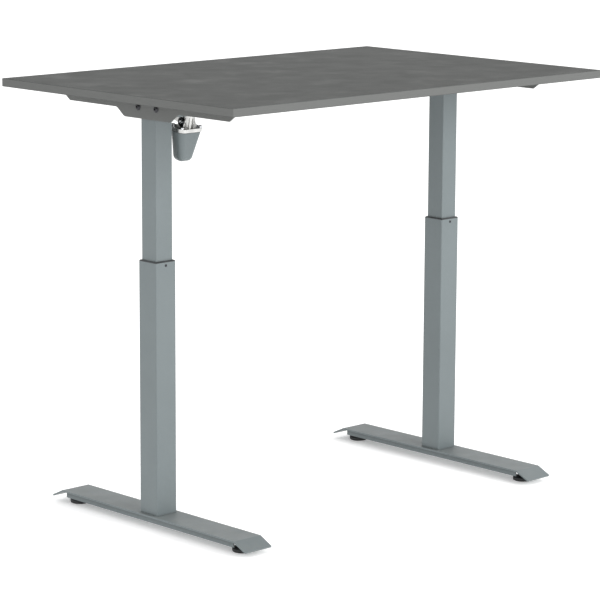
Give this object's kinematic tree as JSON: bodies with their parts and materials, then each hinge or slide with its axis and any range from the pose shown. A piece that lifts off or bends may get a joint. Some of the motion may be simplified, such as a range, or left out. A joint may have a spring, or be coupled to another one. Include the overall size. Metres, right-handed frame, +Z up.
{
  "type": "height adjustable standing desk",
  "caption": "Rectangular work table on two telescopic square columns with long flat feet; one motor under the top raises both columns through a shared drive shaft.",
  "frame": {"origin": "on the floor, under the middle of the table top", "axes": "+Z up; X along the width, with the motor at the -X column; Y along the depth, with the handset under the +Y edge"},
  "size_m": [1.2, 0.8, 1.018],
  "materials": {
    "bearing_steel": "polished",
    "black_bolts": "black oxide",
    "board_green": "lacquered board",
    "box_plastic": "fine-textured black",
    "bracket_paint": "satin blue-grey powder coat",
    "button_plastic": "smooth grey",
    "cap_black": "black, with a bright middle",
    "cast_aluminium": "die-cast, bright",
    "collar_plastic": "moulded, matt black",
    "cover_paint": "satin blue-grey coat",
    "frame_paint": "satin blue-grey powder coat",
    "gear_steel": "cut and hardened",
    "glide_plastic": "moulded, matt black",
    "handset_plastic": "fine-textured black",
    "laminate": "fine matt grey laminate on particle board",
    "magnet_iron": "sintered, dull",
    "nut_plastic": "moulded, ivory",
    "pad_plastic": "moulded, slippery",
    "plain_steel": "plain steel",
    "rotor_steel": "stacked sheets with windings",
    "shaft_steel": "drawn hexagonal bar",
    "socket_plastic": "moulded, black",
    "spindle_steel": "ground and greased",
    "wheel_bronze": "cast and cut",
    "zinc_screws": "bright zinc plated"
  },
  "bodies": {
    "base": {"collar_left": "collar_plastic", "collar_right": "collar_plastic", "collar_screws": "black_bolts", "column_block_left": "plain_steel", "column_block_right": "plain_steel", "foot_bolts": "zinc_screws", "foot_channel_left": "frame_paint", "foot_channel_right": "frame_paint", "foot_plate_left": "frame_paint", "foot_plate_right": "frame_paint", "glide_nuts": "zinc_screws", "outer_tube_left": "frame_paint", "outer_tube_right": "frame_paint", "spindle_nut_left": "nut_plastic", "spindle_nut_right": "nut_plastic", "support_tube_left": "plain_steel", "support_tube_right": "plain_steel"},
    "lift": {"beam_bolts": "black_bolts", "beam_ends": "frame_paint", "bearing_cap": "cap_black", "circuit_board": "board_green", "control_case": "box_plastic", "control_lid": "box_plastic", "control_sockets": "socket_plastic", "cross_beam": "frame_paint", "desk_top": "laminate", "flange_screws": "zinc_screws", "gear_cover": "cast_aluminium", "gear_housing": "cast_aluminium", "gearbox_body_left": "cast_aluminium", "gearbox_body_right": "cast_aluminium", "gearbox_lids": "cast_aluminium", "handset_case": "handset_plastic", "inner_tube_left": "frame_paint", "inner_tube_right": "frame_paint", "motor_can": "plain_steel", "motor_cover": "cover_paint", "motor_magnets": "magnet_iron", "side_bracket_left": "bracket_paint", "side_bracket_right": "bracket_paint", "slide_pad_left": "pad_plastic", "slide_pad_right": "pad_plastic", "spindle_bearings": "bearing_steel", "top_screws": "zinc_screws"},
    "spindle_left": {"spindle_left": "spindle_steel", "spindle_gear_left": "gear_steel"},
    "spindle_right": {"spindle_right": "spindle_steel", "spindle_gear_right": "gear_steel"},
    "drive_shaft": {"drive_shaft": "shaft_steel", "shaft_gear_left": "gear_steel", "shaft_gear_right": "gear_steel", "worm_wheel": "wheel_bronze"},
    "motor_shaft": {"worm_shaft": "gear_steel", "motor_rotor": "rotor_steel"},
    "button_up": {"button_up": "button_plastic"},
    "button_down": {"button_down": "button_plastic"},
    "glide_front_left": {"glide_front_left": "glide_plastic"},
    "glide_front_right": {"glide_front_right": "glide_plastic"},
    "glide_rear_left": {"glide_rear_left": "glide_plastic"},
    "glide_rear_right": {"glide_rear_right": "glide_plastic"}
  },
  "joints": [
    {"name": "lift", "type": "slide", "parent": "base", "child": "lift", "axis": [0, 0, 1], "range_m": [-0.3, 0.16]},
    {"name": "spindle_left_turn", "type": "hinge", "parent": "lift", "child": "spindle_left", "pos_m": [-0.47, 0, 0.96], "axis": [0, 0, 1], "continuous": true},
    {"name": "spindle_right_turn", "type": "hinge", "parent": "lift", "child": "spindle_right", "pos_m": [0.47, 0, 0.96], "axis": [0, 0, 1], "continuous": true},
    {"name": "drive_shaft_turn", "type": "hinge", "parent": "lift", "child": "drive_shaft", "pos_m": [0, 0, 0.96], "axis": [1, 0, 0], "continuous": true},
    {"name": "motor_turn", "type": "hinge", "parent": "lift", "child": "motor_shaft", "pos_m": [-0.398, -0.02608, 0.95474], "axis": [0, -0.1977, 0.9803], "continuous": true},
    {"name": "glide_front_left_turn", "type": "hinge", "parent": "base", "child": "glide_front_left", "pos_m": [-0.47, -0.288, 0.01], "axis": [0, 0, 1], "continuous": true},
    {"name": "glide_front_right_turn", "type": "hinge", "parent": "base", "child": "glide_front_right", "pos_m": [0.47, -0.288, 0.01], "axis": [0, 0, 1], "continuous": true},
    {"name": "glide_rear_left_turn", "type": "hinge", "parent": "base", "child": "glide_rear_left", "pos_m": [-0.47, 0.288, 0.01], "axis": [0, 0, 1], "continuous": true},
    {"name": "glide_rear_right_turn", "type": "hinge", "parent": "base", "child": "glide_rear_right", "pos_m": [0.47, 0.288, 0.01], "axis": [0, 0, 1], "continuous": true},
    {"name": "button_up_press", "type": "slide", "parent": "lift", "child": "button_up", "axis": [0, -1, 0], "range_m": [0, 0.0015], "stiffness_N_per_m": 800, "springref_m": -0.002},
    {"name": "button_down_press", "type": "slide", "parent": "lift", "child": "button_down", "axis": [0, -1, 0], "range_m": [0, 0.0015], "stiffness_N_per_m": 800, "springref_m": -0.002}
  ],
  "couplings": [
    {"joint": "spindle_left_turn", "follows": "lift", "rad_per_m": 628.32},
    {"joint": "spindle_right_turn", "follows": "lift", "rad_per_m": -628.32},
    {"joint": "drive_shaft_turn", "follows": "lift", "rad_per_m": 628.32},
    {"joint": "motor_turn", "follows": "lift", "rad_per_m": 8796.5}
  ]
}
